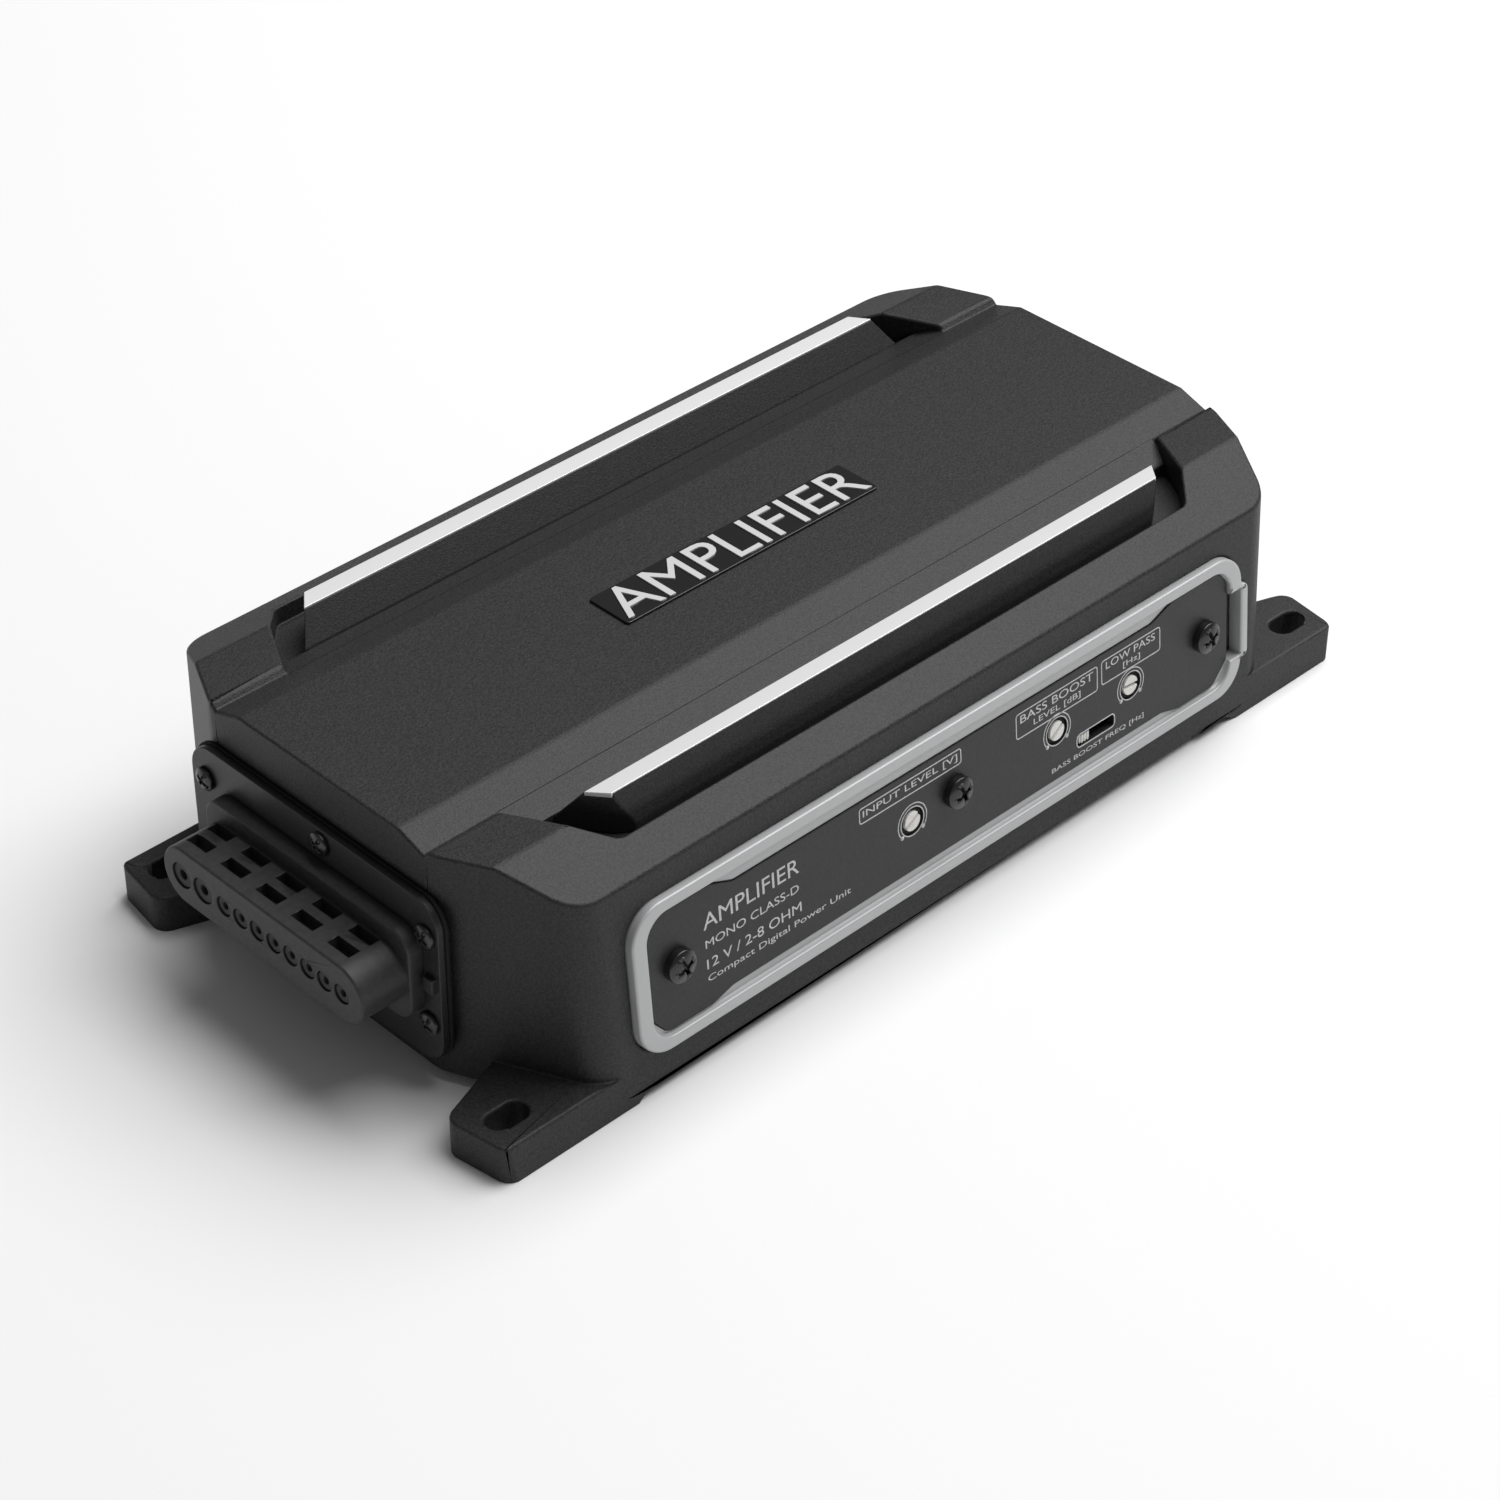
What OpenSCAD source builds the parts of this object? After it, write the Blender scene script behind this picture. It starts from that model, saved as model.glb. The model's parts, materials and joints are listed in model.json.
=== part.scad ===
// Compact weatherproof car amplifier: a die-cast body on four slotted feet, with a
// control panel on the front side and a ten-way connector on the left end.
// Frame: +X along the body, +Y to the rear, +Z up; origin at the middle of the four
// mounting slots, on the surface that the feet stand on. Millimetres.

/* [Body] */
// Length of the body between its two flat ends
body_len = 225; // [215:1:230]
// Rear offset of the top's centre line from the mounting slots' centre
top_offset = 4.4; // [3:0.1:5]
// Front face at the floor, measured forward of the origin
front_reach = 60.2; // [59:0.1:61]
// Rear face at the floor, measured behind the origin
rear_reach = 63.6; // [62:0.1:65]
// Height of the flat middle of the top
top_height = 57.3; // [56.8:0.1:58]
// Half width of the flat middle of the top
flat_half = 23.9; // [22:0.1:25]
// Half width of each end before it slants back
end_half = 33; // [32.5:0.1:34]
// Radius of the upright corners
corner_r = 9; // [6:0.5:10]
// Wall thickness of the casting
wall = 3; // [2.6:0.1:3.2]
// Height of the bottom rim above the floor, between the feet
rim_lift = 2.3; // [1.5:0.1:2.6]

/* [Feet] */
// Distance between slot centres along the body
slot_span_x = 232; // [230:0.5:233]
// Distance between slot centres across the body
slot_span_y = 104; // [102:0.5:105]
// Width of each mounting slot
slot_w = 5.5; // [4.5:0.1:5.5]
// End-to-end length of each mounting slot
slot_len = 9.5; // [8:0.1:10]
// Thickness of each foot
foot_t = 8.7; // [7:0.1:9]
// Radius of the feet's corners, seen from above
foot_r = 3.6; // [2.5:0.1:4]

/* [Trim rails] */
// Height of the silver strips
strip_height = 59.3; // [59:0.1:59.6]
// Half length of the rails at their crest
rail_half_len = 80.5; // [76:0.5:82]
// Height of the silver strips above their black seat
strip_t = 1.2; // [1:0.1:1.4]

/* [Control panel] */
// Length of the silver bezel
bezel_len = 178; // [176:0.5:180]
// Height of the silver bezel, measured up the face
bezel_h = 34.6; // [34:0.1:35]
// Height of the bezel's centre above the floor
panel_z = 26.7; // [26:0.1:27]
// How far the bezel's rim stands out of the face
bezel_proud = 1.75; // [1.2:0.05:2]
// Diameter of the adjusters
adjuster_d = 4.4; // [4:0.1:4.6]
// Diameter of the holes that the adjusters stand in
adjuster_hole_d = 6.2; // [5.8:0.1:6.6]

/* [Connector] */
// Number of ways in the connector
ways = 10; // [10]
// Pitch of the small ways
way_pitch = 5.1; // [5:0.05:5.2]
// Length of the connector block across the end
block_len = 61; // [60:0.5:62]
// Height of the connector block
block_h = 13.4; // [13:0.1:14]
// Outer end of the connector block, measured from the origin
block_reach = 129.5; // [128:0.5:131]

/* [Hidden] */
$fn = 48;

eps = 0.02;
fit_gap = 0.15;
half_len = body_len / 2;
shoulder_front = [-55.3, 50.6];
shoulder_rear = [61.8, 51.4];
draft = atan((front_reach + shoulder_front[0]) / shoulder_front[1]);
rear_lean = (rear_reach - shoulder_rear[0]) / shoulder_rear[1];
end_slant = 0.48;
block_top = 56.6;
block_t = [31.2, 32.5, 44.6];
valley_z = 54.8;
channel_t = [36.9, 51.5];
channel_floor = 49.5;
rail_crest_t = [41.6, 45.7];
rail_foot_t = 48.5;
rail_foot_z = 51.7;
end_x = -half_len;
gasket_t = 0.8;
plate_t = 1.6;
plate_len = 74.6;
plate_h = 39.3;
plate_z = 26.9;
plate_face = end_x - gasket_t - plate_t;
block_y = top_offset - 1.5;
block_z = 27.9;
flange_x = plate_face - 3.4;
lid_z = 2.6;
lid_t = 1.6;
board_z = 9;
board_t = 1.6;
board_top = board_z + board_t;
adjuster_x = [-12.7, 30.6, 53.7];
adjuster_y = -0.5;
adjuster_turn = [28, 33, -6];
panel_screw_x = 77.4;
window_pos = [42.6, -6.4];
window_size = [11.4, 2.8];
knob_size = [3.2, 2];
knob_rest = -3.3;
way_y = [26.1, 19.5, for (i = [0 : ways - 3]) 12.9 - way_pitch * i];
transistor_x = [for (i = [0 : 7]) -70 + 20 * i];
plate_screw_spots = [[-33.8, 11.7], [32.6, 12], [-33.8, -9.8], [32.6, -9.8], [-3.2, 16.2], [-3.2, -15.6]];
lid_screw_spots = [for (x = [-84, 0, 84], y = [-53.5, 57]) [x, y],
                   for (x = [-106.5, 106.5]) [x, -14]];
clamp_screw_x = [-60, -20, 20, 60];
pot_w = 8.2;
toroid_pos = [-22, 4];
inductor_pos = [34, 8];
board_screw_spots = [for (x = [-92, 0, 92], y = [-43, 47]) [x, y]];

black_paint = "#2b2b2d";
trim_black = "#1c1c1d";
silver = "#c9cbcc";
rubber_black = "#141414";
pcb_green = "#1f5b38";
copper = "#b4683a";
steel = "#9a9c9e";

function front_y(z) = -front_reach + z * tan(draft);
function rear_y(z) = rear_reach - z * rear_lean;

// Outline of the body seen from above, at height z, pulled in by inset.
module body_plan(z, inset = 0) {
    fy = front_y(z);
    ry = rear_y(z);
    lo = top_offset - end_half;
    hi = top_offset + end_half;
    offset(delta = -inset) offset(r = corner_r) offset(delta = -corner_r)
        polygon([
            [half_len, lo], [half_len, hi], [half_len - end_slant * (ry - hi), ry],
            [-half_len + end_slant * (ry - hi), ry], [-half_len, hi], [-half_len, lo],
            [-half_len + end_slant * (lo - fy), fy], [half_len - end_slant * (lo - fy), fy]
        ]);
}

// The drafted tub between two heights.
module drafted(z0, z1, inset = 0) {
    hull() {
        translate([0, 0, z0]) linear_extrude(eps) body_plan(z0, inset);
        translate([0, 0, z1 - eps]) linear_extrude(eps) body_plan(z1, inset);
    }
}

// A section drawn in (Y, Z) and run along X.
module along_x(half) {
    translate([-half, 0, 0]) rotate([90, 0, 90]) linear_extrude(2 * half) children();
}

// Mirrors its children about the top's centre line, for the rear half.
module both_sides() {
    translate([0, top_offset, 0]) for (m = [0, 1]) mirror([0, m, 0]) translate([0, -top_offset, 0]) children();
}

// Front half or rear half of a shape that is drawn for the front.
module side(rear) {
    if (rear) translate([0, 2 * top_offset, 0]) mirror([0, 1, 0]) children();
    else children();
}

// Roof section: flat middle, sloping flank, corner block, outer shoulder.
module roof_section(drop = 0) {
    c = top_offset;
    translate([0, -drop]) polygon([
        [-70, -5], [70, -5], [70, shoulder_rear[1] - 0.405 * (70 - shoulder_rear[0])],
        [c + block_t[2], block_top], [c + block_t[1], block_top - 0.4], [c + block_t[0], valley_z],
        [c + flat_half, top_height], [c - flat_half, top_height], [c - block_t[0], valley_z],
        [c - block_t[1], block_top - 0.4], [c - block_t[2], block_top],
        [-70, shoulder_front[1] - 0.404 * (70 + shoulder_front[0])]
    ]);
}

// Plan of the sunk channel that holds a front rail; half is its half length at the inner edge.
module channel_plan(grow = 0) {
    c = top_offset;
    offset(delta = grow) offset(r = 3) offset(delta = -3)
        polygon([
            [-95.2, c - block_t[0] + 6], [-94.2, c - block_t[1]], [-88, c - 44.5], [-81.5, c - channel_t[1]],
            [81.5, c - channel_t[1]], [88, c - 44.5], [94.2, c - block_t[1]], [95.2, c - block_t[0] + 6]
        ]);
}

// Material cut away above the channel floor and over the long inner flank.
module channel_cut() {
    c = top_offset;
    intersection() {
        translate([0, 0, 40]) linear_extrude(30) channel_plan();
        along_x(100) polygon([
            [c - block_t[0], valley_z], [c - channel_t[0], 52.9], [c - channel_t[0], channel_floor],
            [c - 55, channel_floor], [c - 55, 70], [c - block_t[0], 70]
        ]);
    }
}

// A plate with true round corners, centred, in X and Y.
module round_rect(x, y, r) {
    square([x - 2 * r, y], center = true);
    square([x, y - 2 * r], center = true);
    for (sx = [-1, 1], sy = [-1, 1]) translate([sx * (x / 2 - r), sy * (y / 2 - r)]) circle(r);
}

// Places children on the front face: X along it, Y up it, Z out of it.
module on_front() {
    translate([0, front_y(panel_z), panel_z]) rotate([90 - draft, 0, 0]) children();
}

// Places children on the connector end: X to the rear, Y up, Z out of the end.
module on_end(x = end_x) {
    translate([x, top_offset, plate_z]) rotate([90, 0, -90]) mirror([1, 0, 0]) children();
}

module slot_2d(len, width) {
    for (s = [-1, 1]) translate([s * (len - width) / 2, 0]) circle(width / 2);
    square([len - width, width], center = true);
}

// One foot, drawn for the front left and mirrored to the others. Its front follows the
// body's draft, just behind it, and a ramp under the wall leads up to the bottom rim.
module foot() {
    intersection() {
        union() {
            linear_extrude(foot_t) difference() {
                offset(r = foot_r) offset(delta = -foot_r)
                    polygon([
                        [-122.6, -front_reach], [-125, -44.4], [-106, -37.8],
                        [-89.5, -37.8], [-89.5, -front_reach]
                    ]);
                translate([-slot_span_x / 2, -slot_span_y / 2]) slot_2d(slot_len, slot_w);
            }
            translate([0, -52, 0]) rotate([90, 0, 0]) linear_extrude(9)
                polygon([[-96, 0], [-88.9, 0], [-84.3, rim_lift + 0.4], [-96, rim_lift + 0.4]]);
        }
        along_x(130) polygon([
            [front_y(-1) + 0.08, -1], [front_y(20) + 0.08, 20], [0, 20], [0, -1]
        ]);
    }
}

module bezel_outline(grow = 0) {
    round_rect(bezel_len + 2 * grow, bezel_h + 2 * grow, 8 + grow);
    translate([bezel_len / 2 + 0.1, -1]) round_rect(4.2 + 2 * grow, 18.4 + 2 * grow, 1.6);
}

// Dogbone outline of the control plate.
module dogbone(grow = 0) {
    offset(delta = grow) offset(r = -3) offset(r = 6) offset(r = -3)
        polygon([
            [-84.6, -9.6], [-81, -13.9], [-69, -13.9], [-63.6, -12.4], [63.6, -12.4], [69, -13.9],
            [80.4, -13.9], [85.2, -9], [85.2, 10.2], [82.4, 13.8], [67.4, 13.8], [60.4, 11.3],
            [-61.8, 11.3], [-67.8, 13.8], [-81.6, 13.8], [-84.6, 10.4]
        ]);
}

module screw_bosses(spots, z0, z1, r) {
    for (p = spots) translate([p[0], p[1], z0]) cylinder(r = r, h = z1 - z0);
}

module chassis() {
    color(black_paint) difference() {
        union() {
            difference() {
                intersection() {
                    drafted(rim_lift, 62);
                    along_x(120) roof_section();
                }
                intersection() {
                    drafted(rim_lift - 1, 61, wall);
                    along_x(120) roof_section(wall + 0.6);
                    // keeps the roof thick where the rails are sunk into it
                    along_x(120) polygon([
                        [-60, 0], [66, 0], [66, 40], [top_offset + 53.5, 46.4], [top_offset + 35, 46.4],
                        [top_offset + 28, 53.4], [top_offset - 28, 53.4], [top_offset - 35, 46.4],
                        [top_offset - 53.5, 46.4], [-60, 40]
                    ]);
                }
            }
            foot_body();
            intersection() {
                drafted(rim_lift, 47, 1);
                union() {
                    screw_bosses(lid_screw_spots, lid_z + lid_t + gasket_t, 15, 4);
                    screw_bosses(board_screw_spots, board_top - board_t - 4, board_z, 3.4);
                    for (p = board_screw_spots) boss_web(p);
                }
            }
            on_front() for (x = [-panel_screw_x, 0, panel_screw_x]) translate([x, 0.5, -9]) cylinder(r = 4, h = 7);
            on_front() for (x = [-24, 66]) translate([x, 0.5, -11.5]) cylinder(r = 3.2, h = 9);
            on_end() for (p = plate_screw_spots) translate([p[0], p[1], -8]) cylinder(r = 3.4, h = 5.4);
        }
        both_sides() channel_cut();
        // rebate for the base cover and its gasket
        translate([0, 0, -1]) linear_extrude(lid_z + lid_t + gasket_t + 1) body_plan(5, 2);
        // recess and openings of the control panel
        on_front() translate([0, 0, -1.7]) linear_extrude(6) bezel_outline(fit_gap);
        on_front() translate([adjuster_x[0], 0, -9]) linear_extrude(12) round_rect(12, 12, 2);
        on_front() translate([42.2, -2.2, -9]) linear_extrude(12) round_rect(36, 16, 2);
        on_front() for (x = [-panel_screw_x, 0, panel_screw_x]) translate([x, 0.5, -8.6]) cylinder(r = 1.55, h = 12);
        on_front() for (x = [-24, 66]) translate([x, 0.5, -12]) cylinder(r = 1.05, h = 7);
        // opening and screw holes of the connector end
        on_end() translate([-1.5, 1, -6]) linear_extrude(12) round_rect(57, 12, 3);
        on_end() for (p = plate_screw_spots) translate([p[0], p[1], -7.6]) cylinder(r = 1.55, h = 12);
        screw_bosses(lid_screw_spots, 0, 14, 1.55);
        screw_bosses(board_screw_spots, 5.4, 14, 1.3);
        // screw holes behind the transistor clamp
        for (x = clamp_screw_x) translate([x, rear_y(25) - 4.6, 25]) rotate([-90, 0, 0]) cylinder(r = 1.3, h = 3.4);
    }
}

// Board posts stand on short webs from the nearest wall, above the board's own screw.
module boss_web(p) {
    dir = p[1] > 0 ? 1 : -1;
    translate([p[0] - 1.2, p[1], 5.6]) mirror([0, dir < 0 ? 1 : 0, 0]) cube([2.4, 16, 3.4]);
}

// The four feet with the strips that join them under the side walls.
module foot_body() {
    for (mx = [0, 1]) mirror([mx, 0, 0]) {
        foot();
        mirror([0, 1, 0]) foot();
    }
}

module base_cover() {
    color("#4a4b4d") translate([0, 0, lid_z]) linear_extrude(lid_t) difference() {
        body_plan(5, 2 + fit_gap);
        for (p = lid_screw_spots) translate(p) circle(1.7);
    }
}

module base_gasket() {
    color(rubber_black) translate([0, 0, lid_z + lid_t]) linear_extrude(gasket_t) difference() {
        body_plan(5, 2 + fit_gap);
        body_plan(5, 5.5);
        for (p = lid_screw_spots) translate(p) circle(1.7);
    }
}

// Pan-head machine screw, head up, thread down from z = 0, with a cross recess.
module pan_screw(head_r, head_h, r, len) {
    difference() {
        union() {
            translate([0, 0, -len]) cylinder(r = r, h = len + eps);
            intersection() {
                cylinder(r = head_r, h = head_h);
                translate([0, 0, head_h - 2 * head_r]) sphere(2 * head_r);
            }
        }
        for (a = [0, 90]) rotate([0, 0, a]) translate([-head_r * 0.55, -head_r * 0.13, head_h * 0.45])
            cube([head_r * 1.1, head_r * 0.26, head_h]);
    }
}

module base_screws() {
    color(steel) for (p = lid_screw_spots) translate([p[0], p[1], lid_z]) rotate([180, 0, 0]) pan_screw(2.8, 1.7, 1.5, 9);
}

// Rail section from its foot in the channel to the seat of the silver strip.
module rail_section() {
    c = top_offset;
    polygon([
        [c - channel_t[0] - fit_gap, 52.8], [c - rail_crest_t[0], strip_height - 0.2],
        [c - rail_crest_t[0], strip_height - strip_t],
        [c - rail_crest_t[1], strip_height - strip_t], [c - rail_crest_t[1], strip_height], [c - rail_foot_t, rail_foot_z],
        [c - rail_foot_t, channel_floor], [c - channel_t[0] - fit_gap, channel_floor]
    ]);
}

module rail_ends(extra = 0) {
    c = top_offset;
    h = rail_half_len + extra;
    translate([0, 0, 40]) linear_extrude(30)
        polygon([
            [-h - 6, c - 36], [-h - 1, c - 41.6], [-h + 2.7, c - 46.2], [-h + 8, c - 50],
            [h - 8, c - 50], [h - 2.7, c - 46.2], [h + 1, c - 41.6], [h + 6, c - 36]
        ]);
}

module side_rail(rear) {
    color(trim_black) side(rear) intersection() {
        along_x(100) rail_section();
        rail_ends();
    }
}

module trim_strip(rear) {
    c = top_offset;
    color(silver) side(rear) intersection() {
        along_x(100) polygon([
            [c - rail_crest_t[0], strip_height - strip_t], [c - rail_crest_t[0], strip_height - 0.2],
            [c - rail_crest_t[1], strip_height], [c - rail_crest_t[1], strip_height - strip_t]
        ]);
        rail_ends();
    }
}

module top_badge() {
    color(trim_black) translate([-1.2, top_offset - 0.1, top_height]) linear_extrude(0.6) round_rect(72, 11.9, 0.8);
}

module control_bezel() {
    color(silver) on_front() difference() {
        translate([0, 0, -1.7]) linear_extrude(1.7 + bezel_proud) bezel_outline();
        translate([0, 0, 0.35]) linear_extrude(4) round_rect(bezel_len - 7.6, bezel_h - 5.6, 5.6);
        translate([0, 0, -3]) linear_extrude(8) dogbone(fit_gap);
        // release slot beside the plate
        translate([bezel_len / 2 - 2.05, -1, -3]) linear_extrude(8) round_rect(3.9, 16.8, 0.6);
    }
}

module control_plate() {
    color(trim_black) on_front() translate([0, 0, -1.2]) linear_extrude(1.9) difference() {
        dogbone();
        for (x = adjuster_x) translate([x, adjuster_y]) circle(d = adjuster_hole_d);
        translate(window_pos) round_rect(window_size[0], window_size[1], 0.5);
        for (x = [-panel_screw_x, 0, panel_screw_x]) translate([x, 0.5]) circle(1.7);
    }
}

module panel_gasket() {
    color(rubber_black) on_front() translate([0, 0, -1.7]) linear_extrude(0.5) difference() {
        dogbone(-0.4);
        translate([adjuster_x[0], 0]) round_rect(12, 12, 2);
        translate([42.2, -2.2]) round_rect(36, 16, 2);
        for (x = [-panel_screw_x, 0, panel_screw_x]) translate([x, 0.5]) circle(1.7);
    }
}

module panel_screws() {
    color(rubber_black) on_front() for (x = [-panel_screw_x, 0, panel_screw_x])
        translate([x, 0.5, 0.7]) rotate([0, 0, 20]) pan_screw(3.6, 2.7, 1.5, 9);
}

// Slotted rotor of a sealed trimmer.
module adjuster(i) {
    color("#d8d4c8") on_front() translate([adjuster_x[i], adjuster_y, 0]) rotate([0, 0, adjuster_turn[i]])
        difference() {
            translate([0, 0, -10.8]) cylinder(d = adjuster_d, h = 11.6);
            translate([-adjuster_d, -0.4, -0.4]) cube([2 * adjuster_d, 0.8, 3]);
        }
}

module pot(i) {
    color("#2f4f7a") on_front() translate([adjuster_x[i], adjuster_y, 0]) difference() {
        union() {
            translate([-pot_w / 2, -pot_w / 2, -11.5]) cube([pot_w, pot_w, 4.6]);
            translate([0, 0, -6.9 - eps]) cylinder(r = 3.9, h = 4.7);
        }
        translate([0, 0, -10.9]) cylinder(d = adjuster_d + 0.1, h = 12);
    }
}

module adjuster_seals() {
    color(rubber_black) on_front() for (x = adjuster_x) translate([x, adjuster_y, -2.2]) difference() {
        union() {
            cylinder(r = 3.9, h = 1);
            cylinder(d = adjuster_hole_d - 0.1, h = 2.5);
        }
        translate([0, 0, -1]) cylinder(d = adjuster_d + 0.2, h = 5);
    }
}

module mode_switch_body() {
    color("#303236") on_front() translate([window_pos[0], window_pos[1], 0]) difference() {
        translate([-6.7, -2.9, -11.5]) cube([13.4, 5.8, 9.6]);
        translate([-6, -1.8, -10]) cube([12, 3.6, 12]);
    }
}

module mode_switch_knob() {
    color("#e4e2dc") on_front() translate([window_pos[0] + knob_rest, window_pos[1], 0]) {
        translate([-knob_size[0] / 2, -knob_size[1] / 2, -9.6]) cube([knob_size[0], knob_size[1], 9.9]);
        for (s = [-0.9, 0, 0.9]) translate([s - 0.2, -knob_size[1] / 2, 0.25]) cube([0.4, knob_size[1], 0.35]);
    }
}

module control_board() {
    color(pcb_green) on_front() translate([0, 0, -13.1]) linear_extrude(1.6) difference() {
        translate([21, -1]) square([98, 20], center = true);
        for (x = [-24, 66]) translate([x, 0.5]) circle(1.3);
    }
}

module control_board_screws() {
    color(steel) on_front() for (x = [-24, 66]) translate([x, 0.5, -13.1]) rotate([180, 0, 0]) pan_screw(2.2, 1.5, 1, 6);
}

module connector_plate() {
    color(black_paint) on_end(end_x - gasket_t) linear_extrude(plate_t) difference() {
        round_rect(plate_len, plate_h, 6.5);
        translate([-1.5, 1]) round_rect(54, 8, 2);
        for (p = plate_screw_spots) translate(p) circle(1.7);
    }
    // keeper rib between the two front screws
    color(black_paint) on_end(plate_face) translate([-36.2, -1.2, -eps]) cube([2.8, 3.6, 1.2]);
}

module connector_gasket() {
    color(rubber_black) on_end() linear_extrude(gasket_t) difference() {
        round_rect(plate_len + 1, plate_h + 1, 7);
        translate([-1.5, 1]) round_rect(56, 10, 2);
        for (p = plate_screw_spots) translate(p) circle(1.7);
    }
}

module connector_screws() {
    color(rubber_black) on_end(plate_face) for (p = plate_screw_spots)
        translate([p[0], p[1], 0]) rotate([0, 0, 30]) pan_screw(2.6, 1.5, 1.5, 9);
}

// Housing with a stadium-shaped block on a raised flange, windows on top, ports at the end.
module connector_housing() {
    color("#3a3b3d") difference() {
        union() {
            translate([plate_face, 0, 0]) on_block() linear_extrude(3.4) round_rect(62, 21.5, 5);
            translate([flange_x + eps, 0, 0]) on_block() linear_extrude(block_reach + flange_x + eps)
                round_rect(block_len, block_h, block_h / 2 - 0.01);
        }
        for (i = [0 : ways - 1]) translate([plate_face + 1, block_y + way_y[i] - 1.5, block_z])
            rotate([0, -90, 0]) cylinder(r = i < 2 ? 2.9 : 2.2, h = 30);
        for (x = [-120.2, -125.1], k = [-2 : 2])
            translate([x, block_y + 1.5 + 10.87 * k, block_z + block_h / 2]) cube([2.7, 6.4, 6.4], center = true);
    }
}

// Places children at the block's centre, looking out along -X.
module on_block() {
    translate([0, block_y, block_z]) rotate([90, 0, -90]) mirror([1, 0, 0]) children();
}

module wire_seals() {
    color("#55585c") for (i = [0 : ways - 1])
        translate([-block_reach + 4.5, block_y + way_y[i] - 1.5, block_z]) rotate([0, -90, 0]) difference() {
            cylinder(r = i < 2 ? 2.85 : 2.15, h = 4.1);
            translate([0, 0, -1]) cylinder(r = i < 2 ? 1.1 : 0.8, h = 6);
        }
}

module contact_pins() {
    color(copper) for (i = [0 : ways - 1])
        translate([-block_reach + 8, block_y + way_y[i] - 1.5, block_z]) rotate([0, 90, 0])
            cylinder(r = i < 2 ? 1.3 : 0.8, h = 18);
}

// Inner header that holds the pins behind the plate.
module connector_header() {
    color(trim_black) difference() {
        translate([end_x - gasket_t, block_y - 25, block_z - 4]) cube([6, 50, 8]);
        for (i = [0 : ways - 1]) translate([end_x - 5, block_y + way_y[i] - 1.5, block_z])
            rotate([0, 90, 0]) cylinder(r = i < 2 ? 1.35 : 0.85, h = 20);
    }
}

module main_board() {
    color(pcb_green) translate([0, 0, board_z]) linear_extrude(board_t) difference() {
        translate([0, 2]) square([196, 98], center = true);
        for (p = board_screw_spots) translate(p) circle(1.7);
        for (p = lid_screw_spots) translate(p) circle(4.5);
    }
}

module board_screws() {
    color(steel) for (p = board_screw_spots) translate([p[0], p[1], board_top]) pan_screw(2.7, 1.8, 1.25, 5);
}

module toroid_core() {
    color("#d9b23c") translate([toroid_pos[0], toroid_pos[1], board_top + 1.7]) difference() {
        cylinder(r = 17, h = 16);
        translate([0, 0, -1]) cylinder(r = 10, h = 18);
    }
}

// Enamelled turns: one closed band for each, standing round the core.
module toroid_winding() {
    color(copper) translate([toroid_pos[0], toroid_pos[1], board_top + 1.7]) for (i = [0 : 19]) rotate([0, 0, i * 18])
        translate([8.3, 0, -1.7]) difference() {
            translate([0, -1, 0]) cube([10.4, 2, 19.4]);
            translate([1.6, -2, 1.6]) cube([7.2, 4, 16.2]);
        }
}

module output_inductor_core() {
    color("#3b4148") translate([inductor_pos[0], inductor_pos[1], board_top]) difference() {
        translate([-14, -13, 0]) cube([28, 26, 22]);
        translate([-10.5, -14, 3.5]) cube([21, 28, 15]);
    }
}

module output_inductor_winding() {
    color(copper) translate([inductor_pos[0], inductor_pos[1], board_top + 3.6]) difference() {
        cylinder(r = 10.2, h = 14.8);
        translate([0, 0, -1]) cylinder(r = 4, h = 17);
    }
}

module bulk_capacitors() {
    for (p = [[-64, -22], [-64, 0], [-64, 22], [72, -22], [72, 0], [72, 22]])
        color("#26304a") translate([p[0], p[1], board_top]) {
            cylinder(r = 9, h = 30);
            translate([0, 0, 30]) cylinder(r = 7.6, h = 0.6);
        }
}

module output_capacitors() {
    for (x = [8, 20, 32, 44]) color("#7a2f2a") translate([x - 4, -24, board_top]) cube([8, 14, 12]);
}

// Flat-pack power transistors standing against the rear wall.
module power_transistors() {
    for (x = transistor_x) color(trim_black) translate([x, rear_y(25) - wall - 6.1, 0]) {
        translate([-5, 0, 17]) cube([10, 4.5, 15]);
        for (s = [-2.54, 0, 2.54]) translate([s - 0.4, 3.2, board_top]) cube([0.8, 0.6, 17 - board_top + eps]);
    }
}

module thermal_pad() {
    color("#8c9096") difference() {
        along_x(78) polygon([
            [rear_y(25) - wall - 1.6, 16], [rear_y(16) - wall, 16], [rear_y(33) - wall, 33], [rear_y(25) - wall - 1.6, 33]
        ]);
        for (x = clamp_screw_x) translate([x, rear_y(25) - wall - 3, 25]) rotate([-90, 0, 0]) cylinder(r = 1.6, h = 5);
    }
}

module clamp_bar() {
    color(steel) difference() {
        translate([-78, rear_y(25) - wall - 8.1, 22]) cube([156, 2, 6]);
        for (x = clamp_screw_x) translate([x, rear_y(25) - wall - 12, 25]) rotate([-90, 0, 0]) cylinder(r = 1.6, h = 8);
    }
}

module clamp_screws() {
    color(steel) for (x = clamp_screw_x) translate([x, rear_y(25) - wall - 8.1, 25]) rotate([90, 0, 0])
        pan_screw(2.7, 1.8, 1.25, 8.6);
}

module power_busbars() {
    color(copper) for (i = [0, 1]) translate([end_x + 9, block_y + way_y[i] - 1.5 - 2, 0]) {
        translate([0, 0, board_top]) cube([1.2, 4, 24]);
        translate([0, 0, board_top]) cube([12 + 4 * i, 4, 1.2]);
    }
}

module driver_chips() {
    color(trim_black) for (p = [[-30, -34, 12, 9], [-10, -34, 8, 8], [54, -44, 10, 8], [-80, 36, 9, 9], [10, 34, 10, 8]])
        translate([p[0], p[1], board_top]) cube([p[2], p[3], 1.8]);
}

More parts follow.
